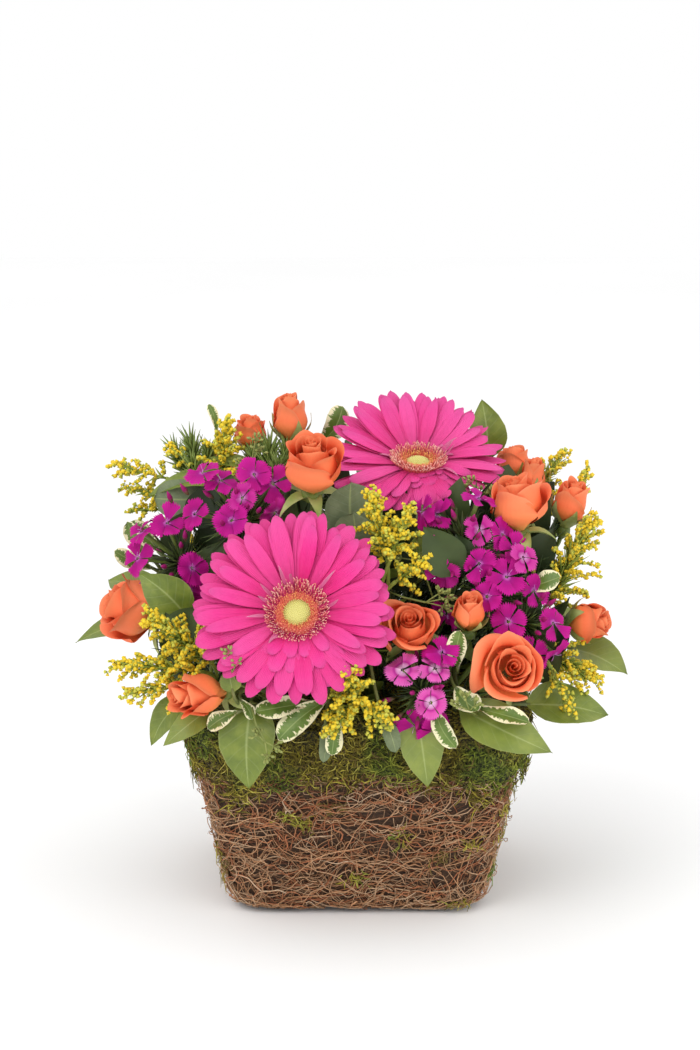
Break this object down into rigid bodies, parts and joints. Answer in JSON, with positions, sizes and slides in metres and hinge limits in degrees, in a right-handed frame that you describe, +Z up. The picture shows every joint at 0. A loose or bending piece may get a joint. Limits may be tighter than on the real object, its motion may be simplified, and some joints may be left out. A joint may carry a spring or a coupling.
{
  "type": "flower basket arrangement",
  "caption": "Square vine basket with a moss collar, filled with gerberas, spray roses, sweet williams, goldenrod and cut foliage held in floral foam.",
  "frame": {"origin": "centre of the basket's flat underside", "axes": "+Z up, -Y towards the front of the arrangement, +X to the right as seen from the front"},
  "size_m": [0.2707, 0.24, 0.2475],
  "materials": {
    "vine": "peeling reddish brown and tan vine twigs",
    "moss": "dry olive and green sheet moss",
    "liner": "thin black sheet",
    "foam": "fine green wet foam",
    "gerbera_petal": "satin hot pink with long grooves",
    "gerbera_disc": "pinkish cream filaments round a pale green centre",
    "rose_petal": "soft orange, yellower at the base",
    "sweet_william_petal": "matt magenta with paler throats",
    "stem": "soft green stems and sepals",
    "goldenrod": "tiny yellow heads on yellow-green twigs",
    "salal_leaf": "leathery green with pale veins",
    "eucalyptus_leaf": "bloomy grey green",
    "pittosporum_leaf": "green with cream margins",
    "narrow_leaf": "fine dark green needles"
  },
  "bodies": {
    "root": {"vine_basket": "vine", "moss_collar": "moss", "plastic_liner": "liner", "gerbera_front_petals": "gerbera_petal", "gerbera_front_disc": "gerbera_disc", "gerbera_top_petals": "gerbera_petal", "gerbera_top_disc": "gerbera_disc", "rose_01": "rose_petal", "rose_02": "rose_petal", "rose_03": "rose_petal", "rose_04": "rose_petal", "rose_05": "rose_petal", "rose_06": "rose_petal", "rose_07": "rose_petal", "rose_08": "rose_petal", "rose_09": "rose_petal", "rose_10": "rose_petal", "rose_11": "rose_petal", "rose_12": "rose_petal", "rose_13": "rose_petal", "rose_14": "rose_petal", "rose_15": "rose_petal", "gerbera_front_stem": "stem", "gerbera_top_stem": "stem", "rose_spray_crown": "stem", "rose_spray_left": "stem", "rose_spray_middle": "stem", "rose_spray_right": "stem", "rose_spray_high": "stem", "rose_spray_back": "stem", "sweet_william_01": "sweet_william_petal", "sweet_william_02": "sweet_william_petal", "sweet_william_03": "sweet_william_petal", "sweet_william_04": "sweet_william_petal", "sweet_william_05": "sweet_william_petal", "sweet_william_06": "sweet_william_petal", "sweet_william_07": "sweet_william_petal", "sweet_william_08": "sweet_william_petal", "sweet_william_stem_left": "stem", "sweet_william_stem_right": "stem", "sweet_william_stem_low": "stem", "sweet_william_stem_back": "stem", "salal_front_left": "salal_leaf", "salal_front_right": "salal_leaf", "salal_left": "salal_leaf", "salal_crown": "salal_leaf", "salal_right": "salal_leaf", "salal_back": "salal_leaf", "eucalyptus": "eucalyptus_leaf", "pittosporum_front": "pittosporum_leaf", "pittosporum_right": "pittosporum_leaf", "pittosporum_left": "pittosporum_leaf", "goldenrod_high_left": "goldenrod", "goldenrod_low_left": "goldenrod", "goldenrod_middle": "goldenrod", "goldenrod_low_front": "goldenrod", "goldenrod_right": "goldenrod", "goldenrod_back": "goldenrod", "narrow_foliage": "narrow_leaf", "floral_foam": "foam"}
  },
  "joints": []
}
